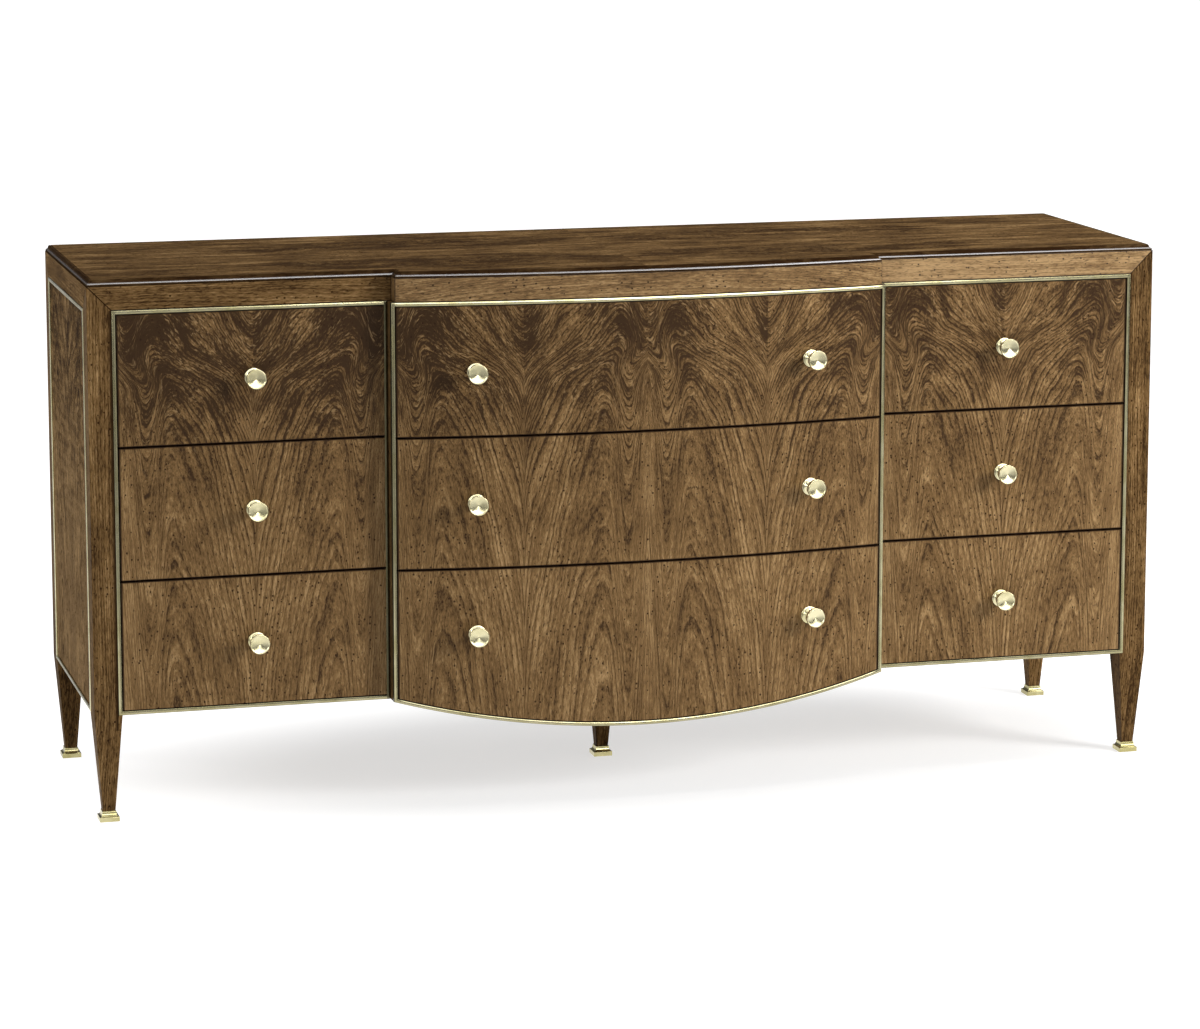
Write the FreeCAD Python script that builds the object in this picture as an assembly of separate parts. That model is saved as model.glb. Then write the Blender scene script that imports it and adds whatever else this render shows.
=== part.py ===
import FreeCAD, Part
import math
import os

Vector = FreeCAD.Vector

# Nine-drawer dresser with flat wings and a bowed centre. Sizes are in millimetres.
# X runs to the right, the drawers open towards -Y and Z is up.
# Every piece is drawn with the wing fronts at y = 0 and moved back at the end,
# so that the origin lies on the floor under the middle of the overall box.

# Case
case_width = 1830.0
wing_depth = 488.0
leg_height = 178.5
leg_size = 46.0
frieze_height = 40.0
board = 20.0
panel_thickness = 15.0
panel_inset = 1.5
back_thickness = 6.0
floor_thickness = 18.0
partition_thickness = 22.0
cleat_size = 20.0
cleat_setback = 60.0

# Bowed centre
center_half = 424.0
step_depth = 25.0
bow_rise = 36.0
arch_rise = 56.0
apron_thickness = 45.0

# Brass beads round each bay and each side
bead_width = 6.5
bead_depth = 8.0
bead_proud = 1.5
bead_round = 1.2

# Drawer rows, from the floor of the case up
bottom_row = 214.0
middle_row = 219.5
top_row = 217.0
front_gap = 1.5
front_thickness = 20.0

# Moulded top
lip_height = 10.0
core_height = 12.0
joint_groove = 1.2
bevel_size = 3.2
quirk = 1.2
bead_size = 4.0
field_groove = 1.0
bead_steps = 3

# Drawer rails and runners behind the fronts
rail_height = 18.0
rail_depth = 50.0
rail_gap = 1.0
runner_width = 24.0
runner_end_gap = 6.0
running_gap = 0.3

# Drawer boxes
side_gap = 1.5
side_thickness = 12.0
drawer_bottom_thickness = 8.0
drawer_bottom_lift = 10.0
box_headroom = 12.0
box_back_gap = 30.0

# Knobs and their screws
knob_radius = 16.5
knob_reach = 30.0
knob_rim = 1.2
dish_depth = 2.8
head_height = 6.0
neck_radius = 6.5
neck_flare = 11.5
collar_radius = 15.0
neck_shares = (0.35, 0.7, 1.0)
collar_height = 3.0
knob_drop = 108.0
center_knob_x = 287.0
screw_radius = 2.0
screw_hole_gap = 0.5
thread_gap = 0.05
screw_depth = 12.0
screw_head_radius = 4.5
screw_head_height = 2.5

# Tapered legs and cup ferrules
leg_foot_size = 20.5
peg_size = 16.0
ferrule_base = 32.5
ferrule_plinth = 8.0
ferrule_height = 17.0
ferrule_lip = 1.2
ferrule_sole = 4.0
cove_steps = 5
center_leg_share = 0.48

# Places worked out from the sizes above
half_width = case_width / 2
case_floor = leg_height
opening_floor = case_floor + bead_width
row_one = opening_floor + bottom_row
row_two = row_one + middle_row
opening_top = row_two + top_row
frame_top = opening_top + bead_width
lip_floor = frame_top + frieze_height
case_height = lip_floor + lip_height
core_floor = lip_floor - core_height
leg_inside = half_width - leg_size
bead_outside = leg_inside + bead_width
bead_back = bead_depth - bead_proud
center_opening = center_half - bead_width
partition_middle = center_half - bead_width / 2
partition_outside = partition_middle + partition_thickness / 2
partition_inside = partition_middle - partition_thickness / 2
panel_inside = half_width - panel_inset - panel_thickness
floor_top = case_floor + floor_thickness
back_face = wing_depth - back_thickness
rail_front = front_thickness + rail_gap
overrun = leg_size
same_place = bead_round / 2

# Turns in degrees
quarter_turn = 90.0
full_turn = 360.0

# The bow is an arc in plan through both ends of the centre, and the apron's
# lower edge is an arc in elevation through the same ends.
bow_radius = (center_half ** 2 + bow_rise ** 2) / (2 * bow_rise)
bow_axis = bow_radius - step_depth - bow_rise
arch_radius = (center_half ** 2 + arch_rise ** 2) / (2 * arch_rise)
arch_axis = case_floor - arch_rise + arch_radius

ROWS = {
    "bottom": (opening_floor, row_one, floor_top),
    "middle": (row_one, row_two, row_one + rail_height / 2),
    "top": (row_two, opening_top, row_two + rail_height / 2),
}


def block(x0, x1, y0, y1, z0, z1):
    """A box between two corners."""
    return Part.makeBox(x1 - x0, y1 - y0, z1 - z0, Vector(x0, y0, z0))


def extruded(points, direction):
    """A prism on a closed outline of points."""
    outline = Part.makePolygon(points + [points[0]])
    return Part.Face(outline).extrude(direction)


def elevation_prism(points, y0, y1):
    """A prism whose outline is drawn in X and Z."""
    corners = [Vector(x, y0, z) for x, z in points]
    return extruded(corners, Vector(0, y1 - y0, 0))


def side_prism(points, x0, x1):
    """A prism whose outline is drawn in Y and Z."""
    corners = [Vector(x0, y, z) for y, z in points]
    return extruded(corners, Vector(x1 - x0, 0, 0))


def plan_prism(points, z0, z1):
    """A prism whose outline is drawn in X and Y."""
    corners = [Vector(x, y, z0) for x, y in points]
    return extruded(corners, Vector(0, 0, z1 - z0))


def mirrored(shape):
    """The same piece on the other side of the dresser."""
    return shape.mirror(Vector(0, 0, 0), Vector(1, 0, 0))


def group(shapes):
    """Separate solids that share one node."""
    return Part.makeCompound(shapes)


def joined(first, *others):
    """One solid from pieces that touch or overlap."""
    shape = first
    for other in others:
        shape = shape.fuse(other)
    return shape.removeSplitter()


def bow_y(x, back=0.0):
    """The bow's face at x, or a surface that lies behind it by a distance."""
    return bow_axis - math.sqrt((bow_radius - back) ** 2 - x ** 2)


def arch_z(x, lift=0.0):
    """The arched lower edge at x, or a line lifted above it."""
    return arch_axis + lift - math.sqrt(arch_radius ** 2 - x ** 2)


def arc(half, point):
    """An arc from one end of a symmetrical curve to the other."""
    return Part.Arc(point(-half), point(0), point(half)).toShape()


def bow_shell(half, front, back, z0, z1):
    """A bowed board between two depths behind the bow's face."""
    ahead = arc(half, lambda x: Vector(x, bow_y(x, front), z0))
    behind = arc(half, lambda x: Vector(x, bow_y(x, back), z0))
    ends = []
    for x in (-half, half):
        ends.append(Part.makeLine(Vector(x, bow_y(x, front), z0), Vector(x, bow_y(x, back), z0)))
    outline = Part.Wire(Part.__sortEdges__([ahead, behind] + ends))
    return Part.Face(outline).extrude(Vector(0, 0, z1 - z0))


def bow_block(half, front, back_y, z0, z1):
    """A block with a bowed front and a straight back."""
    ahead = arc(half, lambda x: Vector(x, bow_y(x, front), z0))
    left = Vector(-half, bow_y(half, front), z0)
    right = Vector(half, bow_y(half, front), z0)
    back_right = Vector(half, back_y, z0)
    back_left = Vector(-half, back_y, z0)
    lines = [Part.makeLine(right, back_right), Part.makeLine(back_right, back_left)]
    lines.append(Part.makeLine(back_left, left))
    outline = Part.Wire(Part.__sortEdges__([ahead] + lines))
    return Part.Face(outline).extrude(Vector(0, 0, z1 - z0))


def above_arch(half, lift, top):
    """Everything between the arched edge, lifted by a distance, and a level."""
    front = bow_y(0) - overrun
    back = apron_thickness + overrun
    below = arc(half, lambda x: Vector(x, front, arch_z(x, lift)))
    right = Vector(half, front, arch_z(half, lift))
    left = Vector(-half, front, arch_z(half, lift))
    top_right = Vector(half, front, top)
    top_left = Vector(-half, front, top)
    lines = [Part.makeLine(right, top_right), Part.makeLine(top_right, top_left)]
    lines.append(Part.makeLine(top_left, left))
    outline = Part.Wire(Part.__sortEdges__([below] + lines))
    return Part.Face(outline).extrude(Vector(0, back - front, 0))


def rounded_front(shape, is_front):
    """Rounds the edges of a bead that bound its front face."""
    edges = [edge for edge in shape.Edges if is_front(edge)]
    return shape.makeFillet(bead_round, edges)


def level_with(value, places):
    """Whether all places have one value."""
    return all(abs(place - value) < same_place for place in places)


def edge_points(edge):
    """The ends and the middle of an edge."""
    first, last = edge.FirstParameter, edge.LastParameter
    return [edge.valueAt(p) for p in (first, (first + last) / 2, last)]


# Top

def top_outline(inset, z):
    """The top's outline, set in from the frieze on its front and sides."""
    side = half_width - inset
    half = center_opening - inset
    front = Vector(half, bow_y(half, inset), z)
    bow = arc(half, lambda x: Vector(x, bow_y(x, inset), z))
    right = [front, Vector(half, inset, z), Vector(side, inset, z), Vector(side, wing_depth, z)]
    left = [Vector(-p.x, p.y, z) for p in reversed(right)]
    ring = right + left
    lines = [Part.makeLine(a, b) for a, b in zip(ring, ring[1:])]
    return Part.Wire([bow] + lines)


def edge_layers():
    """Inset and height at the foot and the head of each layer of the moulded edge."""
    upper = joint_groove + bevel_size
    ledge = bevel_size + quirk
    layers = [((joint_groove, 0), (joint_groove, joint_groove)), ((0, joint_groove), (bevel_size, upper))]
    foot = (ledge, upper)
    for step in range(bead_steps):
        turn = math.radians(quarter_turn) * (step + 1) / bead_steps
        head = (ledge + bead_size * (1 - math.cos(turn)), upper + (lip_height - upper) * math.sin(turn))
        layers.append((foot, head))
        foot = head
    return layers


def layer(foot, head):
    """The part of the top between two outlines."""
    wires = [top_outline(inset, lip_floor + z) for inset, z in (foot, head)]
    return Part.makeLoft(wires, True, True)


def field_channel():
    """The fine V groove that bounds the flat field of the top."""
    crown = edge_layers()[-1][1][0]
    bottom = (crown + field_groove, lip_height - field_groove)
    wide = layer(bottom, (crown, lip_height))
    return wide.cut(layer(bottom, (crown + 2 * field_groove, lip_height)))


def top_panel(legs):
    """The top: a moulded lip over the case and a core that drops between the rails."""
    layers = [layer(foot, head) for foot, head in edge_layers()]
    core = block(board - half_width, half_width - board, board, wing_depth, core_floor, lip_floor)
    for leg in legs:
        core = core.cut(leg)
    return joined(layers[0], *layers[1:], core).cut(field_channel())


# Beads

def wing_bead_blank():
    """The left wing's brass bead before its edges are rounded."""
    back = bead_back
    outer = block(-bead_outside, -center_half, -bead_proud, back, case_floor, frame_top)
    inner = block(-leg_inside, overrun - center_half, -overrun, overrun, opening_floor, opening_top)
    return outer.cut(inner)


def side_bead_blank():
    """The left side's brass bead before its edges are rounded."""
    front = leg_size - bead_width
    x0 = -half_width - bead_proud
    x1 = x0 + bead_depth
    outer = block(x0, x1, front, wing_depth - front, case_floor, frame_top)
    inner = block(x0 - overrun, x1 + overrun, leg_size, wing_depth - leg_size, opening_floor, opening_top)
    return outer.cut(inner)


def center_bead_blank():
    """The centre's brass bead: bowed in plan, arched along its lower edge."""
    ring = above_arch(center_half, 0.0, frame_top)
    ring = ring.cut(above_arch(center_opening, bead_width, opening_top))
    shell = bow_shell(center_half, -bead_proud, bead_back, case_floor - arch_rise, frame_top)
    return ring.common(shell)


def wing_bead():
    """The left wing's brass bead."""
    def on_face(edge):
        return level_with(-bead_proud, [p.y for p in edge_points(edge)])
    return rounded_front(wing_bead_blank(), on_face)


def side_bead():
    """The left side's brass bead."""
    def on_face(edge):
        return level_with(-half_width - bead_proud, [p.x for p in edge_points(edge)])
    return rounded_front(side_bead_blank(), on_face)


def center_bead():
    """The centre's brass bead."""
    def on_face(edge):
        return level_with(0, [p.y - bow_y(p.x, -bead_proud) for p in edge_points(edge)])
    return rounded_front(center_bead_blank(), on_face)


# Frame of the case

def wing_frieze():
    """The left wing's frieze rail, mitred to the leg and to the side rail."""
    elevation = [(-half_width, lip_floor), (-center_opening, lip_floor)]
    elevation += [(-center_opening, opening_top), (-leg_inside, opening_top)]
    plan = [(-half_width, 0), (-center_opening, 0), (-center_opening, board), (board - half_width, board)]
    rail = elevation_prism(elevation, 0, board).common(plan_prism(plan, opening_top, lip_floor))
    return rail.cut(wing_bead_blank())


def side_rail():
    """The left side's top rail, mitred to both legs."""
    elevation = [(0, lip_floor), (wing_depth, lip_floor)]
    elevation += [(wing_depth - leg_size, opening_top), (leg_size, opening_top)]
    inside = board - half_width
    plan = [(-half_width, 0), (inside, board), (inside, wing_depth), (-half_width, wing_depth)]
    rail = side_prism(elevation, -half_width, inside).common(plan_prism(plan, opening_top, lip_floor))
    return rail.cut(side_bead_blank())


def center_frieze():
    """The bowed frieze rail, with its ends showing at each step."""
    rail = bow_shell(center_opening, 0.0, apron_thickness, opening_top, lip_floor)
    return rail.cut(center_bead_blank())


def square_wire(x, y, size, z):
    """A square outline with its middle at a point."""
    half = size / 2
    corners = [Vector(x + a * half, y + b * half, z) for a, b in ((-1, -1), (1, -1), (1, 1), (-1, 1))]
    return Part.makePolygon(corners + [corners[0]])


def tapered_foot(x, y):
    """The part of a leg below the case, with a peg that stands in its ferrule."""
    ends = [square_wire(x, y, leg_foot_size, ferrule_height), square_wire(x, y, leg_size, leg_height)]
    shaft = Part.makeLoft(ends, True, True)
    half = peg_size / 2
    peg = block(x - half, x + half, y - half, y + half, ferrule_sole, ferrule_height)
    return joined(shaft, peg)


def corner_leg(y0, cutters):
    """A left leg: a square post beside the case, tapering below it."""
    x = leg_size / 2 - half_width
    post = block(-half_width, leg_size - half_width, y0, y0 + leg_size, leg_height, lip_floor)
    leg = joined(post, tapered_foot(x, y0 + leg_size / 2))
    for cutter in cutters:
        leg = leg.cut(cutter)
    return leg


def ferrule(x, y):
    """A square cup ferrule: a plinth with a coved upper part, open for the leg's peg."""
    rise = ferrule_height - ferrule_plinth
    top_size = leg_foot_size + 2 * ferrule_lip
    spread = ferrule_base - top_size - 2 * ferrule_lip
    half = ferrule_base / 2
    shape = block(x - half, x + half, y - half, y + half, 0, ferrule_plinth)
    wires = []
    for step in range(cove_steps + 1):
        turn = math.radians(quarter_turn) * step / cove_steps
        size = top_size + spread * (1 - math.sin(turn))
        wires.append(square_wire(x, y, size, ferrule_plinth + rise * (1 - math.cos(turn))))
    for lower, upper in zip(wires, wires[1:]):
        shape = shape.fuse(Part.makeLoft([lower, upper], True, True))
    peg = peg_size / 2
    pocket = block(x - peg, x + peg, y - peg, y + peg, ferrule_sole, ferrule_height + overrun)
    return shape.removeSplitter().cut(pocket)


def foot_places():
    """The middle of each foot, the four corners first."""
    x = half_width - leg_size / 2
    front = leg_size / 2
    back = wing_depth - front
    corners = [(sx * x, y) for y in (front, back) for sx in (-1, 1)]
    return corners + [(0.0, center_leg_share * wing_depth)]


# Panels, partitions and floor

def side_panel():
    """The left side panel, inside its bead."""
    x0 = panel_inset - half_width
    return block(x0, x0 + panel_thickness, leg_size, wing_depth - leg_size, opening_floor, opening_top)


def back_panel():
    """The thin panel that closes the back between the legs."""
    return block(-leg_inside, leg_inside, back_face, wing_depth, case_floor, core_floor)


def back_rail():
    """The rail along the top of the back."""
    return block(-leg_inside, leg_inside, back_face - board, back_face, opening_top, core_floor)


def partition(frieze, bead):
    """The left partition: a panel between the bays, with a narrow stile that
    comes forward to the centre's bead."""
    panel = block(-partition_outside, -partition_inside, rail_front, back_face, floor_top, core_floor)
    stile_front = bow_y(center_half)
    stile = block(-center_half, -center_opening, stile_front, rail_front, case_floor, frame_top)
    panel = panel.cut(back_rail())
    return joined(panel, stile.cut(frieze).cut(bead).cut(wing_bead_blank()))


def apron():
    """The curved board under the centre's lowest drawer, with a lip that holds
    the arched bead."""
    low = case_floor - arch_rise
    body = bow_shell(center_opening, rail_front, apron_thickness, low, case_floor)
    body = body.common(above_arch(center_opening, 0.0, case_floor))
    lip = bow_shell(center_opening, bead_back, rail_front, low, opening_floor)
    lip = lip.common(above_arch(center_opening, 0.0, opening_floor))
    lip = lip.cut(above_arch(center_opening, bead_width, case_height))
    return joined(body, lip)


def floor_panel(cutters):
    """The case's floor, with a thin lip under the wing fronts and the sides."""
    side = half_width - bead_back
    lip = block(-side, side, bead_back, back_face, case_floor, opening_floor)
    upper = block(-panel_inside, panel_inside, rail_front, back_face, case_floor, floor_top)
    middle = bow_block(center_opening, rail_front, rail_front + rail_depth, case_floor, floor_top)
    panel = joined(lip, upper, middle)
    for cutter in cutters:
        panel = panel.cut(cutter)
    return panel


# Rails and runners

def division_levels():
    """The underside of each rail between drawers."""
    return [level - rail_height / 2 for level in (row_one, row_two)]


def wing_rails():
    """The two rails between the left wing's drawers."""
    x0, x1 = -leg_inside, -partition_outside
    y1 = rail_front + rail_depth
    return [block(x0, x1, rail_front, y1, z, z + rail_height) for z in division_levels()]


def center_rails():
    """The two bowed rails between the centre's drawers."""
    y1 = rail_front + rail_depth
    return [bow_block(partition_inside, rail_front, y1, z, z + rail_height) for z in division_levels()]


def strip_pair(x0, x1, y0, y1, z):
    """Two strips at one level, one on each side of a bay."""
    left = block(x0, x0 + runner_width, y0, y1, z, z + rail_height)
    right = block(x1 - runner_width, x1, y0, y1, z, z + rail_height)
    return [left, right]


def bay_runners(x0, x1):
    """Runners on both sides of a bay, with kickers above its top drawer."""
    pieces = strip_pair(x0, x1, board, back_face - board, opening_top)
    for z in division_levels():
        pieces += strip_pair(x0, x1, rail_front + rail_depth, back_face - runner_end_gap, z)
    return pieces


def top_cleats():
    """Cleats that hold the top to the side rails."""
    x0 = board - half_width
    y1 = wing_depth - cleat_setback
    left = block(x0, x0 + cleat_size, cleat_setback, y1, core_floor - cleat_size, core_floor)
    return group([left, mirrored(left)])


# Drawers

def turned(profile):
    """A solid turned about Z from points of radius and height."""
    points = [Vector(r, 0, z) for r, z in profile]
    outline = Part.makePolygon(points + [points[0]])
    return Part.Face(outline).revolve(Vector(0, 0, 0), Vector(0, 0, 1), full_turn)


def knob_shape():
    """A knob that stands on z = 0: collar, waisted neck and dished head."""
    head_floor = knob_reach - head_height
    profile = [(0, 0), (collar_radius, 0), (collar_radius, collar_height - knob_rim)]
    profile += [(collar_radius - knob_rim, collar_height), (neck_flare, collar_height)]
    waist = (collar_height + head_floor) / 2
    for share in neck_shares:
        radius = neck_flare + (neck_radius - neck_flare) * math.sin(math.radians(quarter_turn) * share)
        profile.append((radius, collar_height + (waist - collar_height) * share))
    for share in neck_shares:
        radius = neck_radius + (neck_flare - neck_radius) * share ** 2
        profile.append((radius, waist + (head_floor - waist) * share))
    profile += [(knob_radius - knob_rim, head_floor + knob_rim), (knob_radius, head_floor + 2 * knob_rim)]
    profile += [(knob_radius, knob_reach - knob_rim), (knob_radius - knob_rim, knob_reach)]
    profile += [(knob_radius - 2 * knob_rim, knob_reach), (0, knob_reach - dish_depth)]
    bore = Part.makeCylinder(screw_radius + thread_gap, screw_depth)
    return turned(profile).cut(bore)


def screw_shape():
    """The screw that holds a knob, with its head behind the drawer front."""
    shank_foot = Vector(0, 0, -front_thickness)
    head_foot = Vector(0, 0, -front_thickness - screw_head_height)
    shank = Part.makeCylinder(screw_radius, front_thickness + screw_depth, shank_foot)
    head = Part.makeCylinder(screw_head_radius, screw_head_height, head_foot)
    return joined(shank, head)


def screw_hole():
    """The hole through a drawer front for a knob's screw."""
    foot = Vector(0, 0, -front_thickness - overrun)
    return Part.makeCylinder(screw_radius + screw_hole_gap, front_thickness + 2 * overrun, foot)


def placed(shape, x, y, z, turn):
    """A shape drawn along +Z, laid to face forwards at a point and turned about Z."""
    moved = shape.copy()
    moved.rotate(Vector(0, 0, 0), Vector(1, 0, 0), quarter_turn)
    moved.rotate(Vector(0, 0, 0), Vector(0, 0, 1), turn)
    moved.translate(Vector(x, y, z))
    return moved


def knob_places(bay, row):
    """Where the knobs stand on a front: x, y, z and the turn that follows the bow."""
    z = ROWS[row][1] - front_gap - knob_drop
    if bay == "center":
        turn = math.degrees(math.asin(center_knob_x / bow_radius))
        return [(s * center_knob_x, bow_y(center_knob_x), z, s * turn) for s in (-1, 1)]
    middle = (leg_inside + center_half) / 2
    return [(-middle if bay == "left" else middle, 0.0, z, 0.0)]


def drawer_front(bay, row):
    """A drawer's front, drilled for its knobs."""
    z0, z1 = ROWS[row][0] + front_gap, ROWS[row][1] - front_gap
    if bay == "center":
        half = center_opening - front_gap
        low = z0 - arch_rise if row == "bottom" else z0
        front = bow_shell(half, 0.0, front_thickness, low, z1)
        if row == "bottom":
            front = front.common(above_arch(half, bead_width + front_gap, z1))
    else:
        front = block(front_gap - leg_inside, -center_half - front_gap, 0, front_thickness, z0, z1)
        front = mirrored(front) if bay == "right" else front
    for place in knob_places(bay, row):
        front = front.cut(placed(screw_hole(), *place))
    return front


def box_sides(bay):
    """The outer faces of a drawer box, left and right."""
    if bay == "center":
        edge = partition_inside - side_gap
        return -edge, edge
    outer, inner = leg_inside - side_gap, partition_outside + side_gap
    return (-outer, -inner) if bay == "left" else (inner, outer)


def box_levels(row):
    """The bottom and top edge of a drawer box."""
    ceiling = ROWS[row][1] if row == "top" else ROWS[row][1] - rail_height / 2
    return ROWS[row][2] + running_gap, ceiling - box_headroom


def drawer_box(bay, row):
    """A drawer's two sides, back and bottom, as separate boards."""
    x0, x1 = box_sides(bay)
    z0, z1 = box_levels(row)
    y0 = bow_y(0) if bay == "center" else front_thickness
    y1 = back_face - box_back_gap
    inner0, inner1 = x0 + side_thickness, x1 - side_thickness
    left = block(x0, inner0, y0, y1, z0, z1)
    right = block(inner1, x1, y0, y1, z0, z1)
    back = block(inner0, inner1, y1 - side_thickness, y1, z0, z1)
    low = z0 + drawer_bottom_lift
    bottom = block(inner0, inner1, y0, y1 - side_thickness, low, low + drawer_bottom_thickness)
    boards = [left, right, back, bottom]
    if bay == "center":
        ahead = bow_block(center_half, front_thickness, back_face, z0, z1)
        boards = [left.common(ahead), right.common(ahead), back, bottom.common(ahead)]
    return group(boards)


def drawer_knobs(bay, row):
    """A front's knobs with their screws."""
    pieces = []
    for place in knob_places(bay, row):
        pieces += [placed(knob_shape(), *place), placed(screw_shape(), *place)]
    return group(pieces)


def drawers():
    """Three nodes for each of the nine drawers."""
    nodes = {}
    for bay in ("left", "center", "right"):
        for row in ROWS:
            name = "drawer_" + bay + "_" + row
            nodes[name + "_front"] = drawer_front(bay, row)
            nodes[name + "_box"] = drawer_box(bay, row)
            nodes[name + "_knobs" if bay == "center" else name + "_knob"] = drawer_knobs(bay, row)
    return nodes


def case():
    """The nodes of the case."""
    frieze, rail, bead, edge = wing_frieze(), side_rail(), wing_bead_blank(), side_bead_blank()
    middle = center_bead_blank()
    front_leg = corner_leg(0, [frieze, rail, bead, edge])
    back_leg = corner_leg(wing_depth - leg_size, [rail, edge])
    legs = [front_leg, mirrored(front_leg), back_leg, mirrored(back_leg)]
    left_partition = partition(frieze, middle)
    foot_x, foot_y = foot_places()[-1]
    nodes = {
        "top_panel": top_panel(legs),
        "frieze_left": frieze,
        "frieze_center": center_frieze(),
        "frieze_right": mirrored(frieze),
        "leg_front_left": front_leg,
        "leg_front_right": legs[1],
        "leg_back_left": back_leg,
        "leg_back_right": legs[3],
        "leg_center": tapered_foot(foot_x, foot_y),
        "ferrules": group([ferrule(x, y) for x, y in foot_places()]),
        "side_panel_left": side_panel(),
        "side_panel_right": mirrored(side_panel()),
        "side_rail_left": rail,
        "side_rail_right": mirrored(rail),
        "back_panel": back_panel(),
        "back_rail": back_rail(),
        "partition_left": left_partition,
        "partition_right": mirrored(left_partition),
        "apron": apron(),
        "floor_panel": floor_panel(legs + [left_partition, mirrored(left_partition), apron()]),
        "drawer_rails_left": group(wing_rails()),
        "drawer_rails_center": group(center_rails()),
        "drawer_rails_right": group([mirrored(rail) for rail in wing_rails()]),
        "runners_left": group(bay_runners(-leg_inside, -partition_outside)),
        "runners_center": group(bay_runners(-partition_inside, partition_inside)),
        "runners_right": group(bay_runners(partition_outside, leg_inside)),
        "brass_bead_left": wing_bead(),
        "brass_bead_center": center_bead(),
        "brass_bead_right": mirrored(wing_bead()),
        "brass_bead_side_left": side_bead(),
        "brass_bead_side_right": mirrored(side_bead()),
        "top_cleats": top_cleats(),
    }
    return nodes


def front_reach():
    """How far the centre's knobs stand ahead of the wing fronts."""
    x, y, _, turn = knob_places("center", "top")[1]
    angle = math.radians(turn)
    return -y + knob_reach * math.cos(angle) + (knob_radius - knob_rim) * math.sin(angle)


def write_parts():
    """Moves every node so that the origin is under the middle, and writes it."""
    os.makedirs("parts", exist_ok=True)
    shift = (front_reach() - wing_depth) / 2
    nodes = case()
    nodes.update(drawers())
    for name, shape in nodes.items():
        shape.translate(Vector(0, shift, 0))
        shape.exportStep("parts/" + name + ".step")
    print(len(nodes), "nodes, height", case_height, "depth", front_reach() + wing_depth)


write_parts()
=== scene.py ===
"""Nine-drawer dresser with flat wings and a bowed centre, dressed in walnut veneer and satin brass."""

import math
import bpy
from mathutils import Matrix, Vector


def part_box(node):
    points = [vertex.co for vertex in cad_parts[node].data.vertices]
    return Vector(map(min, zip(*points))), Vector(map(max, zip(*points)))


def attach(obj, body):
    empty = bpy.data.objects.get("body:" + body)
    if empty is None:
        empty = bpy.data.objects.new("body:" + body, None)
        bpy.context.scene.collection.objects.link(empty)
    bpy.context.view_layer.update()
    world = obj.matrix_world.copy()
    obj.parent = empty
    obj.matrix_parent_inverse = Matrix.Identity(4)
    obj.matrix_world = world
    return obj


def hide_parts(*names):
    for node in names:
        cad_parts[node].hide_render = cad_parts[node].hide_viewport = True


bl_info = {
    "name": "Bow-Front Dresser",
    "version": (1, 0, 0),
    "blender": (4, 5, 0),
    "location": "View3D > Sidebar > Dresser",
    "description": "Veneers, brass and studio for a nine-drawer bow-front dresser",
    "category": "Object",
}

import bmesh
import bpy
from bpy.props import FloatProperty, FloatVectorProperty, IntProperty, PointerProperty
from mathutils import Matrix, Vector

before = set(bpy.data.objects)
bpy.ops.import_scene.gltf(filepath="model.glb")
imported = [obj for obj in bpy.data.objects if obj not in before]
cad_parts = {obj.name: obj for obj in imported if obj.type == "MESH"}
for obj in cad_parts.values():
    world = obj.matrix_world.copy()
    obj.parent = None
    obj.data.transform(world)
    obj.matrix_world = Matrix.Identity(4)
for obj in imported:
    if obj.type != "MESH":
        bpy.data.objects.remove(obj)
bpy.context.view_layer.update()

BAYS = ("left", "center", "right")
ROWS = ("bottom", "middle", "top")


def node_center(node):
    """The middle of a node's box."""
    low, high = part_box(node)
    return (low + high) / 2


# Places taken from the frame

case_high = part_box("top_panel")[1]
wing_seam = abs(node_center("drawer_left_top_front").x)
wing_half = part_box("drawer_right_top_front")[1].x - wing_seam
center_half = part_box("drawer_center_top_front")[1].x
center_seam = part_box("frieze_center")[1].x / 2
row_gaps = [(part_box(f"drawer_left_{low}_front")[1].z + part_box(f"drawer_left_{high}_front")[0].z) / 2
            for low, high in zip(ROWS, ROWS[1:])]
wing_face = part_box("leg_front_left")[0].y
joint_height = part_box("leg_front_left")[1].z
rail_depth = joint_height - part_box("side_rail_left")[0].z
bead_low, bead_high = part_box("brass_bead_left")
bead_edge = -bead_low.x
bead_inner = -bead_high.x
bead_top = bead_high.z
bead_foot = bead_low.z

# Sizes of the bow and the beads that the boxes of the pieces don't give
BOW_RADIUS = 2.515
BOW_STEPS = 48
BEAD_WIDTH = 0.0065
BEAD_DEPTH = 0.008
BEAD_ROUND = 0.0008
CROWN_REACH = 0.0026
CROWN_RISE = 0.0008

# How far the top's ledge and its bead lie under its face
LEDGE_DROP = 0.0060
BEAD_DROP = 0.0007

# Gloss of the faces that are seen at a slant, where more would veil the wood in grey
SLANT_GLOSS = 0.002


# Settings that a user would change

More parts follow.
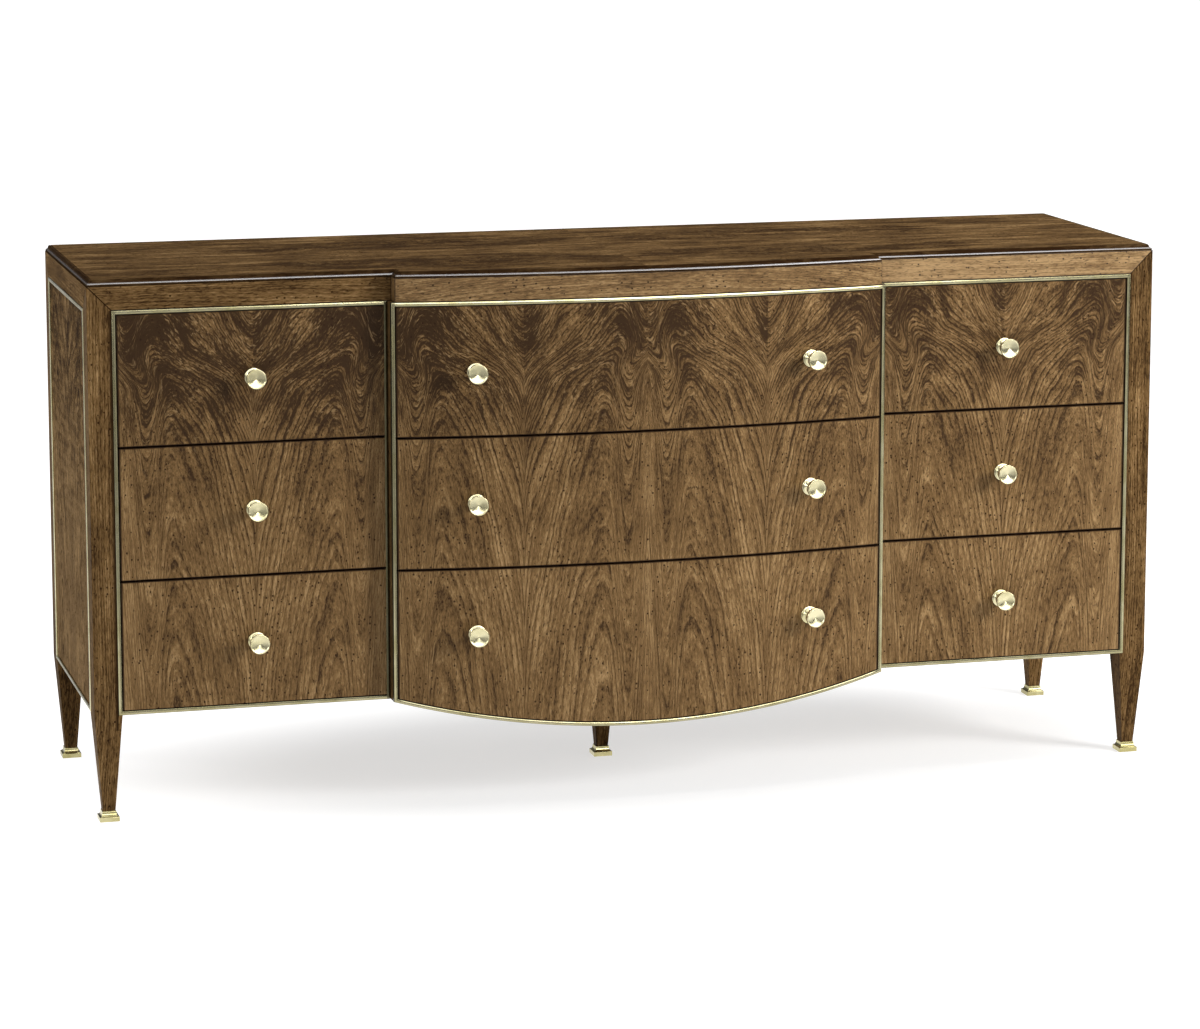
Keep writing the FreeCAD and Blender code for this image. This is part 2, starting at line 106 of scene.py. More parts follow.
class DresserWood(bpy.types.PropertyGroup):
    """Tones and figure of the walnut."""
    light: FloatVectorProperty(
        name="Light Streaks", description="Colour of the palest grain", subtype="COLOR",
        default=(0.345, 0.220, 0.100), size=3, min=0.0, max=1.0)
    middle: FloatVectorProperty(
        name="Ground", description="Colour of most of the wood", subtype="COLOR",
        default=(0.150, 0.085, 0.032), size=3, min=0.0, max=1.0)
    # Dark Lines is also the colour of the dark edge glazing and of the painted shade at the gaps and beside
    # the beads
    dark: FloatVectorProperty(
        name="Dark Lines", description="Colour of the darkest growth lines", subtype="COLOR",
        default=(0.018, 0.008, 0.003), size=3, min=0.0, max=1.0)
    leaf_width: FloatProperty(
        name="Leaf Width", description="Width of one leaf of veneer on the fronts", default=0.218,
        min=0.05, max=0.6, unit="LENGTH")
    ring_spacing: FloatProperty(
        name="Ring Spacing", description="Distance between growth lines", default=0.0085,
        min=0.001, max=0.05, unit="LENGTH")
    sheen_roughness: FloatProperty(
        name="Lacquer Roughness", description="Roughness of the satin lacquer", default=0.42,
        min=0.05, max=1.0, subtype="FACTOR")
    ease: FloatProperty(
        name="Eased Edge", description="Width of the softened edges", default=0.0012,
        min=0.0001, max=0.005, unit="LENGTH")


class DresserBrass(bpy.types.PropertyGroup):
    """Colour, finish and size of the brass."""
    bright: FloatVectorProperty(
        name="Rubbed Brass", description="Colour where the brass is rubbed bright", subtype="COLOR",
        default=(0.69, 0.635, 0.41), size=3, min=0.0, max=1.0)
    aged: FloatVectorProperty(
        name="Aged Brass", description="Colour where the brass has dulled", subtype="COLOR",
        default=(0.41, 0.365, 0.165), size=3, min=0.0, max=1.0)
    knob_radius: FloatProperty(
        name="Knob Radius", description="Radius of a knob's head", default=0.0165, min=0.005, max=0.05,
        unit="LENGTH")
    knob_reach: FloatProperty(
        name="Knob Reach", description="How far a knob stands out of its front", default=0.030, min=0.01,
        max=0.08, unit="LENGTH")
    knob_turn: FloatProperty(
        name="Centre Knob Turn", description="Angle by which a centre knob follows the bow",
        default=math.radians(6.55), min=0.0, max=0.5, unit="ROTATION")
    knob_segments: IntProperty(
        name="Knob Segments", description="Steps round each turned knob", default=64, min=12, max=128)


class DresserStudio(bpy.types.PropertyGroup):
    """Camera and lamps."""
    lens: FloatProperty(
        name="Lens", description="Focal length of the camera", default=121.85, min=20.0, max=300.0,
        unit="CAMERA")
    key_power: FloatProperty(
        name="Key", description="Power of the large lamp at the front right", default=262.0,
        min=0.0, max=5000.0, unit="POWER")
    fill_power: FloatProperty(
        name="Fill", description="Power of the large lamp at the front left", default=42.0,
        min=0.0, max=5000.0, unit="POWER")
    glint_power: FloatProperty(
        name="Glint", description="Power of the small lamp that glints on the brass", default=20.0,
        min=0.0, max=5000.0, unit="POWER")
    side_power: FloatProperty(
        name="Side", description="Power of the lamp at the left side", default=62.0,
        min=0.0, max=5000.0, unit="POWER")
    top_power: FloatProperty(
        name="Overhead", description="Power of the lamp above the dresser", default=60.0,
        min=0.0, max=5000.0, unit="POWER")


# Node trees

class Graph:
    """Adds nodes to one tree and links them."""

    def __init__(self, tree):
        self.tree = tree

    def feed(self, socket, value):
        """Links a socket, or sets its value."""
        if isinstance(value, bpy.types.NodeSocket):
            self.tree.links.new(value, socket)
        else:
            socket.default_value = value

    def fill(self, node, inputs):
        """Links or sets a node's inputs."""
        for key, value in inputs.items():
            self.feed(node.inputs[key], value)

    def add(self, kind, inputs=None, **settings):
        """Adds a node with its settings and inputs."""
        node = self.tree.nodes.new("ShaderNode" + kind)
        for name, value in settings.items():
            setattr(node, name, value)
        self.fill(node, inputs or {})
        return node

    def math(self, operation, *values, clamp=False):
        """The result of one sum."""
        node = self.add("Math", operation=operation, use_clamp=clamp)
        for socket, value in zip(node.inputs, values):
            self.feed(socket, value)
        return node.outputs[0]

    def times(self, first, second):
        """One value times another."""
        return self.math("MULTIPLY", first, second)

    def plus(self, first, second):
        """One value plus another."""
        return self.math("ADD", first, second)

    def minus(self, first, second):
        """One value less another."""
        return self.math("SUBTRACT", first, second)

    def scaled(self, value, scale, base):
        """A value times a scale, and a base added."""
        return self.math("MULTIPLY_ADD", value, scale, base)

    def absolute(self, value):
        """A value without its sign."""
        return self.math("ABSOLUTE", value)

    def gap(self, first, second):
        """How far apart two values lie."""
        return self.absolute(self.minus(first, second))

    def larger(self, first, second):
        """The larger of two values."""
        return self.math("MAXIMUM", first, second)

    def above(self, value, limit):
        """1 where a value is above a limit."""
        return self.math("GREATER_THAN", value, limit)

    def below(self, value, limit):
        """1 where a value is below a limit."""
        return self.math("LESS_THAN", value, limit)

    def combine(self, x, y, z):
        """A vector from three values."""
        return self.add("CombineXYZ", {"X": x, "Y": y, "Z": z}).outputs[0]

    def separate(self, vector):
        """The three values of a vector."""
        return self.add("SeparateXYZ", {"Vector": vector}).outputs[:3]

    def stretch(self, vector, scale):
        """A vector times a scale along each axis."""
        return self.add("VectorMath", {0: vector, 1: scale}, operation="MULTIPLY").outputs[0]

    def shift(self, vector, offset):
        """A vector moved by an offset."""
        return self.add("VectorMath", {0: vector, 1: offset}, operation="ADD").outputs[0]

    def noise(self, vector, detail=2.0, roughness=0.5):
        """Smooth noise from 0 to 1 on a vector that is already scaled."""
        inputs = {"Vector": vector, "Scale": 1.0, "Detail": detail, "Roughness": roughness}
        return self.add("TexNoise", inputs).outputs[0]

    def spread(self, value, low, high, to_low=0.0, to_high=1.0):
        """A value mapped smoothly from one range to another."""
        inputs = {"Value": value, "From Min": low, "From Max": high, "To Min": to_low, "To Max": to_high}
        return self.add("MapRange", inputs, interpolation_type="SMOOTHSTEP").outputs[0]

    def mix(self, factor, first, second):
        """A mix of two colours."""
        return self.add("Mix", {"Factor": factor, 6: first, 7: second}, data_type="RGBA").outputs[2]

    def curve(self, value, points):
        """A value put through a smooth curve drawn through given points."""
        node = self.add("FloatCurve", {"Value": value})
        line = node.mapping.curves[0]
        while len(line.points) < len(points):
            line.points.new(0.5, 0.5)
        for handle, place in zip(line.points, points):
            handle.location = place
        node.mapping.update()
        return node.outputs[0]

    def ramp(self, value, stops):
        """A colour from a value."""
        node = self.add("ValToRGB", {"Fac": value})
        elements = node.color_ramp.elements
        while len(elements) < len(stops):
            elements.new(1.0)
        for element, (place, color) in zip(elements, stops):
            element.position = place
            element.color = (*color, 1.0)
        return node.outputs[0]


def group_tree(name, inputs, outputs):
    """A shader node group with its sockets, and its input node's outputs by name."""
    tree = bpy.data.node_groups.new(name, "ShaderNodeTree")
    for title, kind, default in inputs:
        socket = tree.interface.new_socket(name=title, in_out="INPUT", socket_type="NodeSocket" + kind)
        if default is not None:
            socket.default_value = default
    for title, kind in outputs:
        tree.interface.new_socket(name=title, in_out="OUTPUT", socket_type="NodeSocket" + kind)
    graph = Graph(tree)
    entry = tree.nodes.new("NodeGroupInput")
    leave = tree.nodes.new("NodeGroupOutput")
    return graph, entry.outputs, leave.inputs


# Shares of a leaf's width and of the fronts' height, drawn from the seam out and from the floor up
LEAF_CREST_SHARES = (
    (0.0, 0.0), (0.02, 0.07), (0.05, 0.13), (0.10, 0.205), (0.20, 0.32), (0.317, 0.44), (0.43, 0.55),
    (0.54, 0.63), (0.633, 0.66), (0.70, 0.58), (0.765, 0.42), (0.81, 0.39), (0.86, 0.48), (0.93, 0.74),
    (1.0, 1.0))
LEAF_RISE_SHARES = (
    (0.0, 0.0), (0.387, 0.115), (0.50, 0.165), (0.611, 0.230), (0.692, 0.300), (0.75, 0.375), (0.806, 0.465),
    (0.889, 0.630), (1.0, 0.860))
# Height of the figure's foot, how high it runs from there, and how far it bends the growth lines
LEAF_FOOT = 0.12
LEAF_HEIGHT = 0.72
CREST_REACH = 0.16
RISE_REACH = 0.32
# Place of the seam in the coordinates of a side panel
LEAF_OFFSET = 0.5


def leaf_flow_group():
    """Grain coordinates of one leaf of crotch walnut, mirrored about its seam.

    The vector counts metres across the growth lines, along them and through the leaf.
    Swirl is 1 where the figure is strongest, and Shade darkens the outer part of the figure.
    """
    graph, given, result = group_tree(
        "Leaf Flow",
        [("Vector", "Vector", None), ("Seam", "Float", 0.2), ("Leaf Width", "Float", 0.2)],
        [("Grain", "Vector"), ("Place", "Vector"), ("Swirl", "Float"), ("Shade", "Float")])
    x, y, z = graph.separate(given["Vector"])
    offset = graph.minus(graph.absolute(x), given["Seam"])
    side = graph.math("SIGN", offset)
    out = graph.absolute(offset)
    drift = graph.times(graph.scaled(graph.math("SIGN", x), 2.0, side), 0.006)
    swirl = graph.spread(z, 0.50, 0.72)
    place = graph.combine(out, drift, z)
    slow = graph.noise(graph.stretch(place, (12.0, 12.0, 6.0)), detail=0.0)
    quick = graph.noise(graph.shift(graph.stretch(place, (24.0, 20.0, 22.0)), (7.3, 2.1, 4.4)), detail=1.0)
    throat = graph.spread(z, 0.71, 0.78, 0.0, 0.034)
    rounded = graph.math("SQRT", graph.plus(graph.math("POWER", out, 2.0), graph.math("POWER", throat, 2.0)))
    share = graph.math("DIVIDE", graph.minus(rounded, throat), given["Leaf Width"])
    crest = graph.times(graph.curve(share, LEAF_CREST_SHARES), CREST_REACH)
    level = graph.math("DIVIDE", graph.minus(z, LEAF_FOOT), LEAF_HEIGHT)
    rise = graph.times(graph.curve(level, LEAF_RISE_SHARES), RISE_REACH)
    crest = graph.times(crest, graph.scaled(swirl, 0.30, 1.0))
    flare = graph.times(graph.spread(out, 0.006, 0.060), graph.spread(z, 0.74, 0.85, 0.0, 0.020))
    across = graph.minus(graph.minus(rise, crest), flare)
    calm = graph.spread(out, 0.0, 0.055, 0.2, 1.0)
    bend = graph.times(graph.scaled(swirl, 0.030, 0.012), calm)
    across = graph.scaled(graph.minus(slow, 0.5), bend, across)
    ripple = graph.times(graph.scaled(swirl, 0.012, 0.003), calm)
    across = graph.scaled(graph.minus(quick, 0.5), ripple, across)
    along = graph.scaled(out, graph.times(swirl, 0.8), z)
    through = graph.plus(graph.plus(y, drift), out)
    graph.feed(result["Grain"], graph.combine(across, along, through))
    graph.feed(result["Place"], graph.combine(x, z, y))
    graph.feed(result["Swirl"], swirl)
    outer = graph.times(graph.spread(share, 0.25, 0.55), graph.spread(share, 0.95, 0.75))
    inner = graph.times(graph.spread(share, 0.0, 0.06, 0.5, 0.0), graph.minus(0.5, side))
    shade = graph.times(graph.plus(outer, inner), graph.spread(z, 0.66, 0.80))
    graph.feed(result["Shade"], graph.minus(shade, graph.spread(share, 0.88, 0.98, 0.0, 0.9)))
    return graph.tree


def walnut_grain_group():
    """Colour, relief and gloss of walnut.

    Grain is in metres across the growth lines, along them and through the leaf,
    and Place is the same point laid flat without the figure.
    """
    graph, given, result = group_tree(
        "Walnut Grain",
        [("Grain", "Vector", None), ("Place", "Vector", None), ("Swirl", "Float", 0.0),
         ("Shade", "Float", 0.0), ("Rings", "Float", 0.6), ("Spacing", "Float", 0.0085),
         ("Contrast", "Float", 1.0), ("Tone", "Float", 0.0), ("Dark", "Color", None),
         ("Ground", "Color", None), ("Light", "Color", None)],
        [("Color", "Color"), ("Height", "Float"), ("Roughness", "Float")])
    grain = given["Grain"]
    swirl = given["Swirl"]
    band = graph.noise(graph.stretch(grain, (26.0, 1.6, 6.0)), detail=1.0)
    cloud = graph.noise(graph.stretch(grain, (16.0, 10.0, 6.0)), detail=2.0, roughness=0.6)
    streak = graph.noise(graph.stretch(grain, (150.0, 6.0, 40.0)), detail=3.0, roughness=0.6)
    fibre = graph.noise(graph.stretch(grain, (420.0, 70.0, 260.0)), detail=3.0, roughness=0.75)
    figure = graph.noise(graph.stretch(grain, (40.0, 11.0, 16.0)), detail=4.0, roughness=0.66)
    turns = graph.math("DIVIDE", graph.separate(grain)[0], given["Spacing"])
    turns = graph.scaled(band, 5.0, turns)
    turns = graph.scaled(streak, 0.5, turns)
    phase = graph.math("FRACT", turns)
    chance = graph.add("TexWhiteNoise", {"W": graph.math("FLOOR", turns)}, noise_dimensions="1D")
    own = chance.outputs["Value"]
    line = graph.times(graph.spread(phase, 0.40, 0.88), graph.spread(phase, 1.0, 0.90))
    line = graph.times(line, graph.scaled(own, 0.70, 0.35))
    line = graph.times(line, graph.spread(cloud, 0.30, 0.60, 0.45, 1.0))
    tone = graph.plus(0.58, given["Tone"])
    tone = graph.scaled(graph.minus(own, 0.5), 0.10, tone)
    for value, weight in ((band, 0.22), (cloud, 0.70), (streak, 0.78), (fibre, 1.30)):
        tone = graph.scaled(graph.minus(value, 0.5), weight, tone)
    shine = graph.times(graph.minus(figure, 0.48), swirl)
    tone = graph.scaled(shine, 1.05, tone)
    depth = graph.times(given["Rings"], graph.scaled(swirl, 0.04, -0.52))
    tone = graph.scaled(line, depth, tone)
    tone = graph.scaled(swirl, -0.185, tone)
    tone = graph.scaled(given["Shade"], -0.16, tone)
    tone = graph.math("MULTIPLY_ADD", graph.minus(tone, 0.5), given["Contrast"], 0.5, clamp=True)
    tone = graph.larger(tone, 0.11)
    color = graph.mix(graph.spread(tone, 0.0, 0.55), given["Dark"], given["Ground"])
    color = graph.mix(graph.spread(tone, 0.45, 1.0), color, given["Light"])
    spark = graph.noise(graph.stretch(grain, (330.0, 70.0, 90.0)), detail=1.0)
    spark = graph.times(graph.spread(spark, 0.54, 0.68), graph.spread(figure, 0.44, 0.60))
    color = graph.mix(graph.times(graph.times(spark, swirl), 0.6), color, given["Light"])
    dash = graph.noise(graph.stretch(grain, (430.0, 95.0, 300.0)), detail=1.0)
    pore = graph.spread(dash, 0.59, 0.72)
    color = graph.mix(graph.times(pore, 0.65), color, given["Dark"])
    spots = graph.stretch(given["Place"], (105.0, 90.0, 1.0))
    cells = graph.add("TexVoronoi", {"Vector": spots, "Scale": 1.0}, voronoi_dimensions="2D")
    crowd = graph.noise(graph.stretch(given["Place"], (22.0, 22.0, 22.0)), detail=1.0)
    chosen = graph.scaled(graph.minus(crowd, 0.5), 1.6, graph.separate(cells.outputs["Color"])[0])
    size = graph.spread(chosen, 0.52, 1.10, 0.0, 0.22)
    speck = graph.spread(cells.outputs["Distance"], graph.times(size, 0.5), size, 1.0, 0.0)
    color = graph.mix(graph.times(speck, 0.92), color, given["Dark"])
    pits = graph.larger(pore, speck)
    graph.feed(result["Color"], color)
    graph.feed(result["Height"], graph.scaled(fibre, 0.35, graph.times(pits, -1.0)))
    graph.feed(result["Roughness"], graph.scaled(pits, 0.2, graph.times(cloud, 0.12)))
    return graph.tree


def edge_glazing_and_shade_group():
    """Where dark glazing and polish sit on the eased edges; the dark glazing is partly painted shade that
    widens the shaded gaps.

    Edge is 1 on faces that turn away from the three flat directions, and Polish is 1 on those that look up.
    """
    graph, given, result = group_tree(
        "Glazed Edge",
        [("Normal", "Vector", None), ("Place", "Vector", None), ("Polish Height", "Float", 1.0)],
        [("Edge", "Float"), ("Polish", "Float")])
    turned_away = graph.add("VectorMath", {0: given["Normal"]}, operation="ABSOLUTE").outputs[0]
    x, y, z = graph.separate(turned_away)
    facing = graph.larger(graph.larger(x, y), z)
    patch = graph.noise(graph.stretch(given["Place"], (35.0, 35.0, 35.0)), detail=2.0)
    edge = graph.spread(facing, 0.975, 0.93)
    graph.feed(result["Edge"], graph.times(edge, graph.spread(patch, 0.30, 0.60, 0.7, 1.0)))
    upward = graph.spread(graph.separate(given["Normal"])[2], 0.10, 0.40)
    away = graph.gap(graph.separate(given["Place"])[2], given["Polish Height"])
    near = graph.spread(away, 0.0017, 0.0012)
    graph.feed(result["Polish"], graph.times(graph.times(edge, upward), near))
    return graph.tree


def new_material(name):
    """An empty node material: its graph and its shader."""
    material = bpy.data.materials.new(name)
    material.use_nodes = True
    graph = Graph(material.node_tree)
    shader = next(n for n in material.node_tree.nodes if n.type == "BSDF_PRINCIPLED")
    return material, graph, shader


def place_group(graph, name, inputs):
    """A node group in a material."""
    return graph.add("Group", inputs, node_tree=bpy.data.node_groups[name]).outputs


def object_vector(graph):
    """The piece's own coordinates."""
    return graph.add("TexCoord").outputs["Object"]


# Where dark lines end and where they are full: beside a mitre, the wood's own dark joint, and beside a
# front's side and the middle of a row gap, painted shade
MITRE_REACH = (0.0014, 0.0004)
SIDE_BORDER = (0.0030, 0.0016)
ROW_BORDER = (0.0034, 0.0020)
# Distance between the growth lines of the posts and rails
FINE_SPACING = 0.0046
HARDWOOD_TONES = ((0.25, (0.23, 0.150, 0.082)), (0.5, (0.36, 0.255, 0.150)), (0.75, (0.46, 0.345, 0.215)))
# Colour of the painted shade and painted dark reflections on the front beads
BEAD_SHADE_COLOR = (0.012, 0.010, 0.005, 1.0)


def mitre_line(graph):
    """The dark lines of the mitres between the posts, the friezes and the side rails."""
    x, y, z = graph.separate(object_vector(graph))
    front_gap = graph.gap(graph.minus(graph.absolute(x), z), case_high.x - joint_height)
    side_gap = graph.gap(graph.plus(y, z), wing_face + joint_height)
    corner = graph.above(graph.absolute(x), case_high.x - rail_depth)
    front = graph.times(graph.spread(front_gap, *MITRE_REACH), corner)
    side = graph.times(graph.spread(side_gap, *MITRE_REACH), graph.below(y, wing_face + rail_depth))
    return graph.times(graph.larger(front, side), graph.above(z, joint_height - rail_depth))


def bead_shadow_line(graph):
    """Painted shadow beside the brass beads on the posts, fullest left of each bead, and a dark line over the
    top bead.
    """
    x, y, z = graph.separate(object_vector(graph))
    outside = graph.minus(graph.absolute(x), bead_edge)
    over = graph.minus(z, bead_top)
    # Painted shadow: full on the left of each bead, where the key lamp's shadow falls, and weaker on the
    # right
    shaded = graph.scaled(graph.below(x, 0.0), 0.7, 0.3)
    beside = graph.times(graph.spread(outside, 0.0065, 0.0020), shaded)
    beside = graph.times(beside, graph.above(outside, 0.0))
    upright = graph.times(beside, graph.below(over, 0.0))
    above = graph.times(graph.spread(over, 0.0026, 0.0004), graph.below(outside, 0.0))
    line = graph.larger(upright, graph.times(above, graph.above(over, 0.0)))
    return graph.times(line, graph.below(y, wing_face + 0.002))


def lacquered(graph, shader, flow, gloss=0.1, glazing_and_shade=0.0):
    """Finishes a shader as walnut under satin lacquer, with dark glazing in its polished edges that is partly
    painted shade.
    """
    wood = bpy.context.scene.dresser_wood
    inputs = {"Spacing": wood.ring_spacing, "Dark": (*wood.dark, 1.0), "Ground": (*wood.middle, 1.0),
              "Light": (*wood.light, 1.0)}
    found = place_group(graph, "Walnut Grain", dict(inputs, **flow))
    coordinates = graph.add("TexCoord").outputs
    edge = place_group(graph, "Glazed Edge", {"Normal": coordinates["Normal"], "Place": coordinates["Object"],
                                              "Polish Height": case_high.z - LEDGE_DROP})
    # Dark glazing on the eased edges plus the given darkening, partly painted shade at the gaps and beside
    # the beads
    dark_edges_and_shade = graph.larger(graph.times(edge["Edge"], 0.95), glazing_and_shade)
    color = graph.mix(dark_edges_and_shade, found["Color"], (*wood.dark, 1.0))
    rough = graph.plus(found["Roughness"], wood.sheen_roughness - 0.06)
    bump = graph.add("Bump", {"Height": found["Height"], "Strength": 0.35, "Distance": 0.0003})
    graph.fill(shader, {
        "Base Color": color, "Roughness": rough, "Normal": bump.outputs[0], "Specular IOR Level": gloss,
        "Coat Weight": edge["Polish"], "Coat Roughness": 0.2, "Coat IOR": 2.0})


def matched(graph, shader, vector, seam, leaf_width, gloss=0.1, glazing_and_shade=0.0, shade_offset=0.0, **values):
    """Finishes a shader as book-matched crotch walnut laid on a vector."""
    flow = place_group(graph, "Leaf Flow", {"Vector": vector, "Seam": seam, "Leaf Width": leaf_width})
    found = {name: flow[name] for name in ("Grain", "Place", "Swirl")}
    # The shade offset is the mottled figure on the side panels, and painted shade on the fronts
    found["Shade"] = graph.plus(flow["Shade"], shade_offset)
    lacquered(graph, shader, dict(found, **values), gloss, glazing_and_shade)


def front_veneer(name, seam, middle, half):
    """Book-matched crotch walnut for a column of drawer fronts, with painted shade along the gaps round each
    front.
    """
    material, graph, shader = new_material(name)
    leaf_width = bpy.context.scene.dresser_wood.leaf_width
    x, _, z = graph.separate(object_vector(graph))
    # Painted shade near each front's sides and the row gaps, and on its side faces, standing in for the shade
    # in the gaps
    inward = graph.minus(half, graph.gap(graph.absolute(x), middle))
    gap_shade = graph.spread(inward, *SIDE_BORDER)
    for gap in row_gaps:
        gap_shade = graph.larger(gap_shade, graph.spread(graph.gap(z, gap), *ROW_BORDER))
    sides = graph.absolute(graph.separate(graph.add("TexCoord").outputs["Normal"])[1])
    gap_shade = graph.larger(graph.times(gap_shade, 0.9), graph.spread(sides, 0.45, 0.15))
    # Painted shade: the upper rows of the fronts grow darker towards the left, where less light falls
    top_left_shade = graph.times(graph.spread(x, 0.2, -0.6, 0.0, 0.9), graph.spread(z, 0.58, 0.70))
    rings = graph.spread(z, 0.28, 0.64, 0.70, 1.0)
    values = {"Rings": rings, "Tone": graph.spread(z, 0.28, 0.64, -0.035, 0.0)}
    matched(graph, shader, object_vector(graph), seam, leaf_width, glazing_and_shade=gap_shade, shade_offset=top_left_shade, **values)
    return material


def side_veneer(name, center, leaf_width):
    """Book-matched crotch walnut for a side panel, mottled above, with its seam upright at the middle."""
    material, graph, shader = new_material(name)
    x, y, z = graph.separate(object_vector(graph))
    out = graph.minus(y, center)
    vector = graph.combine(graph.plus(out, LEAF_OFFSET), x, z)
    flat = graph.combine(graph.absolute(out), graph.times(graph.math("SIGN", out), 0.02), z)
    shade_offset = graph.noise(graph.stretch(flat, (13.0, 40.0, 75.0)), detail=3.0, roughness=0.6)
    shade_offset = graph.times(graph.minus(0.5, shade_offset), graph.spread(z, 0.40, 0.56, 0.6, 4.5))
    values = {"Rings": 0.9, "Contrast": 1.45, "Tone": 0.08}
    matched(graph, shader, vector, LEAF_OFFSET, leaf_width, SLANT_GLOSS, shade_offset=shade_offset, **values)
    return material


def top_veneer(name, center):
    """Straight walnut for the top, with a band of crotch figure on each side of its middle line."""
    material, graph, shader = new_material(name)
    x, y, z = graph.separate(object_vector(graph))
    out = graph.minus(y, center)
    off = graph.absolute(out)
    drift = graph.times(graph.scaled(graph.math("SIGN", x), 2.0, graph.math("SIGN", out)), 0.01)
    flat = graph.combine(off, graph.absolute(x), drift)
    wide = graph.noise(graph.stretch(flat, (7.0, 5.0, 5.0)), detail=2.0)
    blot = graph.noise(graph.stretch(flat, (14.0, 10.0, 9.0)), detail=3.0, roughness=0.6)
    place = graph.scaled(graph.minus(wide, 0.5), 0.12, off)
    band = graph.spread(graph.gap(place, 0.12), 0.085, 0.02)
    reach = graph.gap(graph.absolute(x), 0.34)
    swirl = graph.times(band, graph.spread(reach, 0.36, 0.20))
    sway = graph.times(graph.minus(blot, 0.5), graph.scaled(swirl, 0.085, 0.016))
    slant = graph.times(graph.times(swirl, 0.05), graph.minus(wide, 0.3))
    across = graph.plus(graph.plus(off, sway), slant)
    grain = graph.combine(across, graph.absolute(x), graph.plus(z, graph.plus(drift, off)))
    shade = graph.times(swirl, graph.spread(blot, 0.70, 0.32, 0.0, 1.3))
    ribbon = graph.noise(graph.stretch(flat, (42.0, 5.5, 9.0)), detail=3.0, roughness=0.6)
    shade = graph.scaled(graph.minus(ribbon, 0.5), 7.0, shade)
    calm = graph.times(swirl, 0.5)
    values = {"Grain": grain, "Place": flat, "Swirl": calm, "Shade": shade, "Rings": 0.8, "Contrast": 1.15}
    # The top's front edge below its face is darkened
    under = graph.below(z, case_high.z - BEAD_DROP)
    lacquered(graph, shader, dict(values, Tone=-0.13), SLANT_GLOSS, graph.times(under, 0.8))
    return material


def straight_veneer(name, along, rings=0.5, contrast=1.0, tone=0.0, gloss=0.01):
    """Walnut whose grain runs straight along one axis."""
    material, graph, shader = new_material(name)
    x, y, z = graph.separate(object_vector(graph))
    if along == "X":
        parts = (graph.plus(z, y), x, graph.minus(z, y))
    elif along == "Y":
        parts = (graph.plus(z, x), y, graph.minus(z, x))
    else:
        parts = (graph.plus(x, y), z, graph.minus(x, y))
    flat = graph.combine(*parts)
    sway = graph.minus(graph.noise(graph.stretch(flat, (9.0, 2.4, 9.0)), detail=2.0), 0.5)
    grain = graph.combine(graph.scaled(sway, 0.010, parts[0]), parts[1], parts[2])
    # Dark mitre joints, and painted shadow beside the brass beads
    lines = graph.times(graph.larger(mitre_line(graph), bead_shadow_line(graph)), 0.88)
    values = {"Spacing": FINE_SPACING, "Rings": rings, "Contrast": contrast, "Tone": tone}
    lacquered(graph, shader, dict(values, Grain=grain, Place=flat), gloss, lines)
    return material


def plain_wood(name, along):
    """Sanded pale hardwood for the parts that are seen only with the drawers open."""
    material, graph, shader = new_material(name)
    x, y, z = graph.separate(object_vector(graph))
    flat = graph.combine(y, x, z) if along == "X" else graph.combine(x, y, z)
    streak = graph.noise(graph.stretch(flat, (230.0, 9.0, 230.0)), detail=5.0, roughness=0.75)
    band = graph.noise(graph.stretch(flat, (24.0, 1.6, 24.0)), detail=2.0)
    tone = graph.scaled(streak, 0.6, graph.times(band, 0.4))
    color = graph.ramp(tone, HARDWOOD_TONES)
    rough = graph.scaled(streak, 0.15, 0.5)
    bump = graph.add("Bump", {"Height": streak, "Strength": 0.2, "Distance": 0.0002})
    graph.fill(shader, {"Base Color": color, "Roughness": rough, "Normal": bump.outputs[0]})
    return material


def satin_brass(name, aging=0.0, shaded_bead=False):
    """Pale satin brass, dulled in patches, and on a front's bead darkened with painted shade and painted dark
    reflections.
    """
    brass = bpy.context.scene.dresser_brass
    material, graph, shader = new_material(name)
    coordinates = graph.add("TexCoord").outputs
    place = coordinates["Object"]
    patch = graph.noise(graph.stretch(place, (28.0, 28.0, 28.0)), detail=4.0, roughness=0.6)
    brushed = graph.noise(graph.stretch(place, (900.0, 900.0, 900.0)), detail=2.0)
    dull = graph.spread(patch, 0.35, 0.7)
    dulled = graph.scaled(dull, 0.55, aging)
    color = graph.mix(dulled, (*brass.bright, 1.0), (*brass.aged, 1.0))
    if shaded_bead:
        turned_away = graph.add("VectorMath", {0: coordinates["Normal"]}, operation="ABSOLUTE").outputs[0]
        aside, _, upward = graph.separate(turned_away)
        run = graph.absolute(graph.separate(place)[0])
        step = graph.gap(run, bead_inner)
        upright = graph.larger(graph.below(step, BEAD_WIDTH), graph.above(run, bead_edge - BEAD_WIDTH))
        inner = graph.times(graph.below(step, BEAD_WIDTH), graph.above(run, bead_inner))
        low = graph.below(graph.separate(place)[2], bead_foot + BEAD_WIDTH)
        # Painted shade and painted dark reflections on the bead's uprights, inner members, bottom member and
        # side walls
        bead_shade_mask = graph.scaled(inner, 0.45, graph.times(upright, 0.36))
        bead_shade_mask = graph.larger(bead_shade_mask, graph.times(low, 0.42))
        bead_shade_mask = graph.larger(bead_shade_mask, graph.spread(graph.larger(aside, upward), 0.55, 0.85))
        color = graph.mix(bead_shade_mask, color, BEAD_SHADE_COLOR)
    rough = graph.scaled(brushed, 0.05, graph.scaled(dull, 0.07, 0.14))
    bump = graph.add("Bump", {"Height": brushed, "Strength": 0.02, "Distance": 0.0001})
    graph.fill(shader, {"Base Color": color, "Metallic": 1.0, "Roughness": rough, "Normal": bump.outputs[0]})
    return material


# Pieces

MERGE_DISTANCE = 1e-6
COPLANAR_ANGLE = math.radians(0.4)
SHARP_ANGLE = math.radians(24)
SMOOTH_ANGLE = math.radians(50)
FLAT_ANGLE = math.radians(6)


